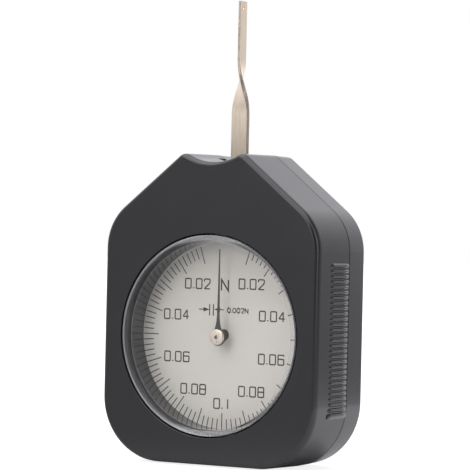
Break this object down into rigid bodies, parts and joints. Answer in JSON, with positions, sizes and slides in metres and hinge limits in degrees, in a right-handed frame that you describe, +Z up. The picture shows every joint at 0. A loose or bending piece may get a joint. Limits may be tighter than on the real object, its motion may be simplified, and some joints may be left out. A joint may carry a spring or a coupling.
{
  "type": "dial tension gauge",
  "caption": "Hand-held dial tension gauge: a moulded case with a round crystal, a silvered dial with a needle, and a twisted flat feeler lever out of its top.",
  "frame": {"origin": "on the case's flat underside, in the middle of its width, midway between the crystal's front and the back face", "axes": "+X to the right of someone who faces the dial, +Y from the dial to the back of the case, +Z up along the lever"},
  "size_m": [0.067, 0.0274, 0.1255],
  "materials": {
    "case_plastic": "moulded, satin",
    "clear_acrylic": "clear, polished",
    "dial_silver": "fine silvered grain with black print",
    "lever_steel": "satin, along the strip",
    "screw_steel": "turned",
    "plate_brass": "brushed",
    "hub_brass": "turned and nickel washed",
    "needle_black": "thin black lacquer",
    "spring_bronze": "rolled, bright"
  },
  "bodies": {
    "case": {"front_case": "case_plastic", "rear_cover": "case_plastic", "window_crystal": "clear_acrylic", "dial_plate": "dial_silver", "case_screw_1": "screw_steel", "case_screw_2": "screw_steel", "case_screw_3": "screw_steel", "case_screw_4": "screw_steel", "front_plate_screw_1": "screw_steel", "front_plate_screw_2": "screw_steel", "front_plate_screw_3": "screw_steel", "front_plate_screw_4": "screw_steel", "back_plate_screw_1": "screw_steel", "back_plate_screw_2": "screw_steel", "back_plate_screw_3": "screw_steel", "stop_pin_1": "screw_steel", "stop_pin_2": "screw_steel", "movement_front_plate": "plate_brass", "movement_back_plate": "plate_brass", "plate_pillar_1": "plate_brass", "plate_pillar_2": "plate_brass", "plate_pillar_3": "plate_brass", "measuring_spring_stud": "plate_brass", "hairspring_stud": "plate_brass", "measuring_spring": "spring_bronze", "hairspring": "spring_bronze", "lever_front_bush": "spring_bronze", "lever_back_bush": "spring_bronze", "pointer_front_bush": "spring_bronze", "pointer_back_bush": "spring_bronze"},
    "lever": {"lever_shaft": "screw_steel", "lever_hub": "plate_brass", "feeler_lever": "lever_steel", "sector_gear": "plate_brass", "hub_rivet_1": "screw_steel", "hub_rivet_2": "screw_steel", "spring_collet": "plate_brass"},
    "pointer": {"pinion_arbor": "screw_steel", "pointer_hub": "hub_brass", "pointer_needle": "needle_black", "hairspring_collet": "plate_brass"}
  },
  "joints": [
    {"name": "lever_swing", "type": "hinge", "parent": "case", "child": "lever", "pos_m": [0, 0.00145, 0.06137], "axis": [0, 1, 0], "range_deg": [-8.78, 8.78], "stiffness_Nm_per_rad": 0.0418, "deforming": ["measuring_spring"]},
    {"name": "pointer_turn", "type": "hinge", "parent": "case", "child": "pointer", "pos_m": [0, -0.0046, 0.0345], "axis": [0, 1, 0], "range_deg": [-180, 180], "deforming": ["hairspring"]}
  ],
  "couplings": [
    {"joint": "pointer_turn", "follows": "lever_swing", "ratio": -20.5}
  ]
}
